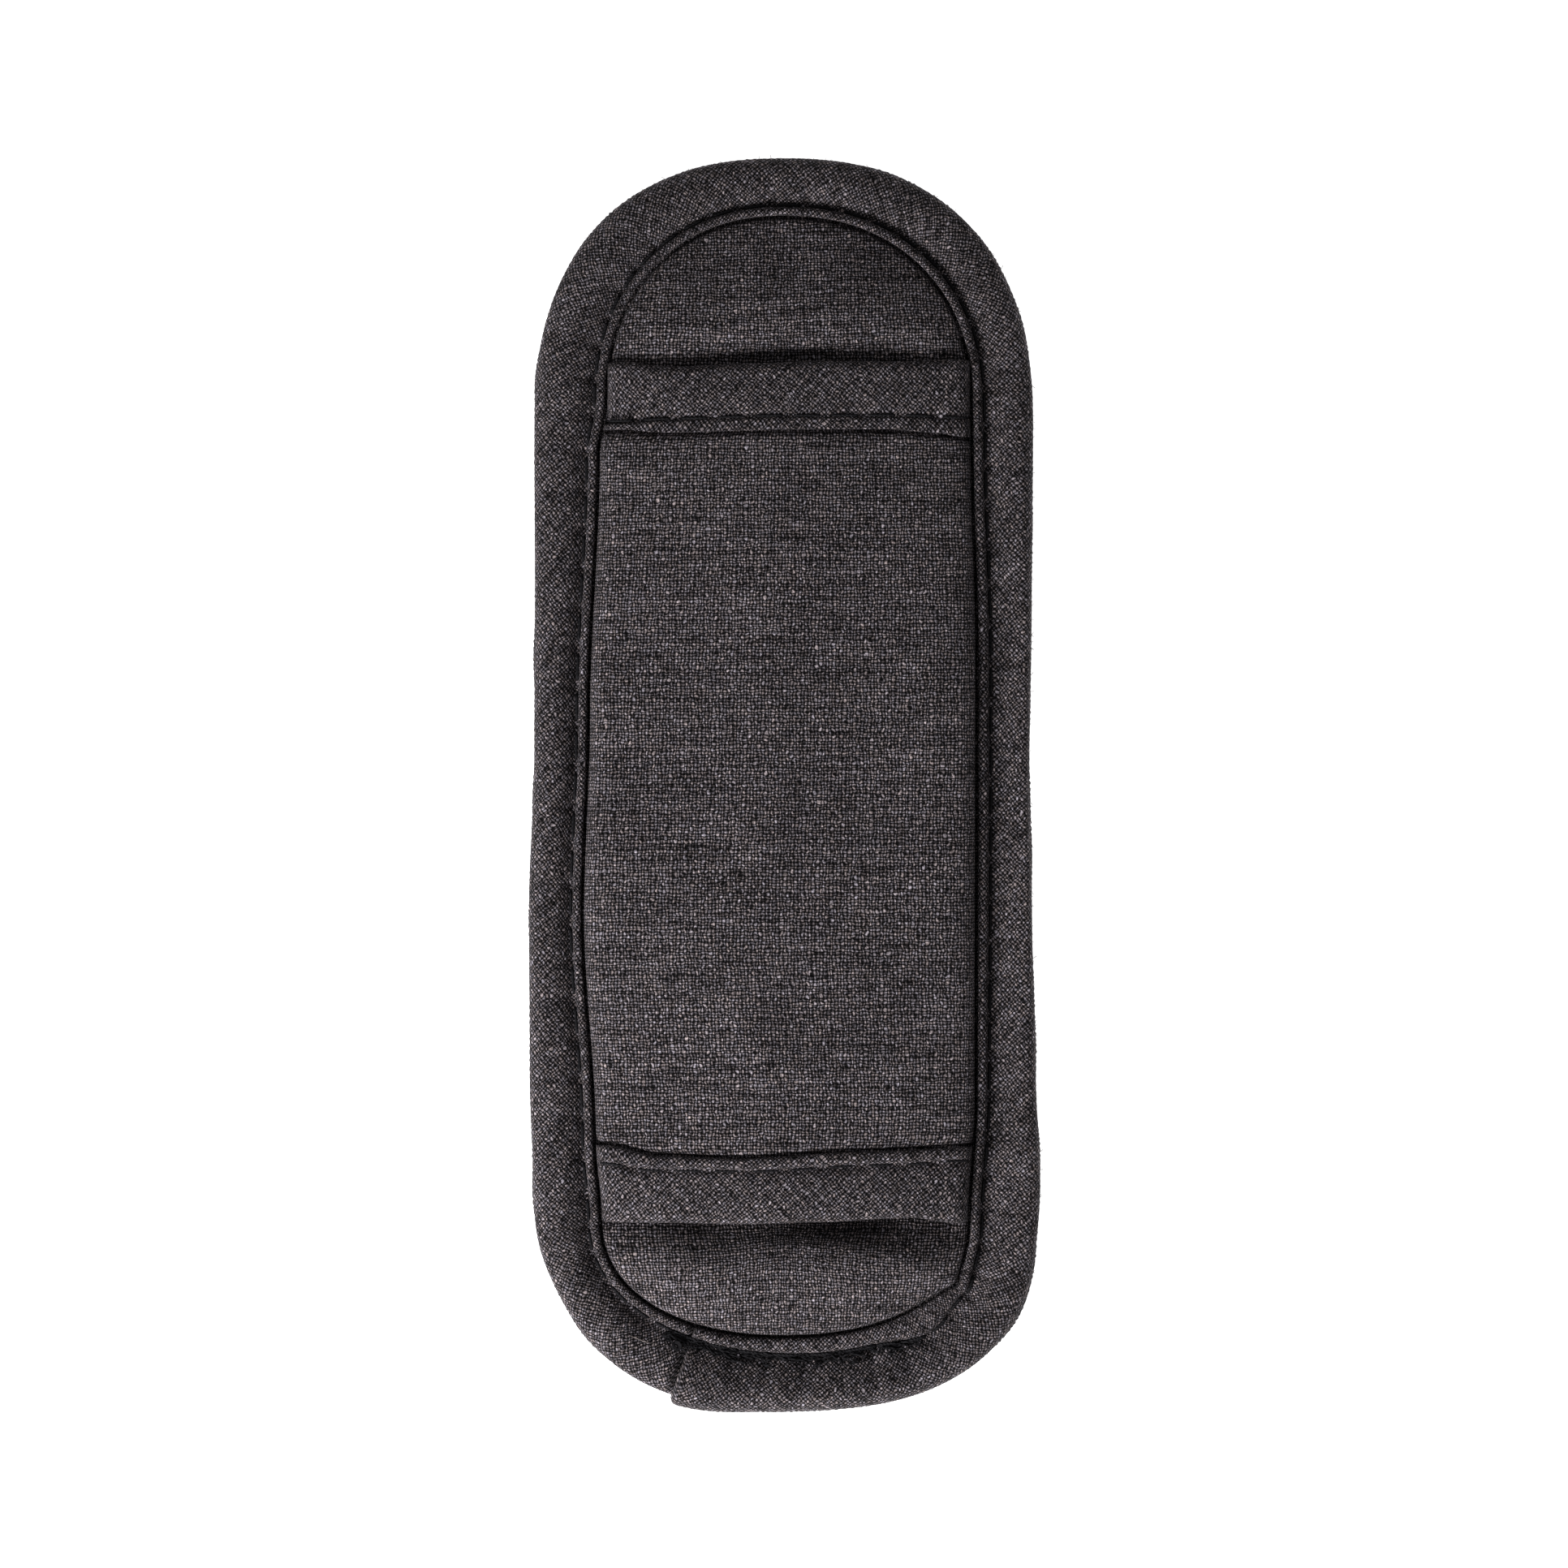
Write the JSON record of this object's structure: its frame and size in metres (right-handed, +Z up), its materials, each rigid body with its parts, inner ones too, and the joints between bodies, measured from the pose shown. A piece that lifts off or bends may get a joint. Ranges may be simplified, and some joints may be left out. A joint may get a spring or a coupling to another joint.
{
  "type": "slip-on padded arm cover",
  "caption": "Long round-ended fabric pad with a bound edge and a padded sleeve on its back, open at both ends, that a narrow chair arm or strap passes through.",
  "frame": {"origin": "middle of the flat face that the pad rests on, under the middle of its outline", "axes": "+Z up out of the sleeve side, +Y along the pad towards its narrower end, +X across it"},
  "size_m": [0.0768, 0.1901, 0.017],
  "materials": {
    "cover_fabric": "dark charcoal melange plain weave, straight grain, matte",
    "binding_fabric": "the same plain weave cut on the bias, matte",
    "lining_fabric": "plain dark woven lining, matte",
    "foam": "open-cell foam sheet",
    "thread": "black twisted polyester sewing thread"
  },
  "bodies": {
    "pad": {"face_cover": "cover_fabric", "foam_core": "foam", "back_cover": "cover_fabric", "edge_binding": "binding_fabric", "edge_seam_thread_back": "thread", "edge_seam_thread_face": "thread"},
    "sleeve": {"sleeve_panel": "cover_fabric", "sleeve_padding": "foam", "sleeve_lining": "lining_fabric", "sleeve_binding_upper": "binding_fabric", "sleeve_binding_lower": "binding_fabric", "sleeve_thread_upper_outer": "thread", "sleeve_thread_upper_inner": "thread", "sleeve_thread_lower_outer": "thread", "sleeve_thread_lower_inner": "thread"}
  },
  "joints": [
    {"name": "sleeve_lift", "type": "slide", "parent": "pad", "child": "sleeve", "axis": [0, 0, 1], "range_m": [0, 0.012]}
  ]
}
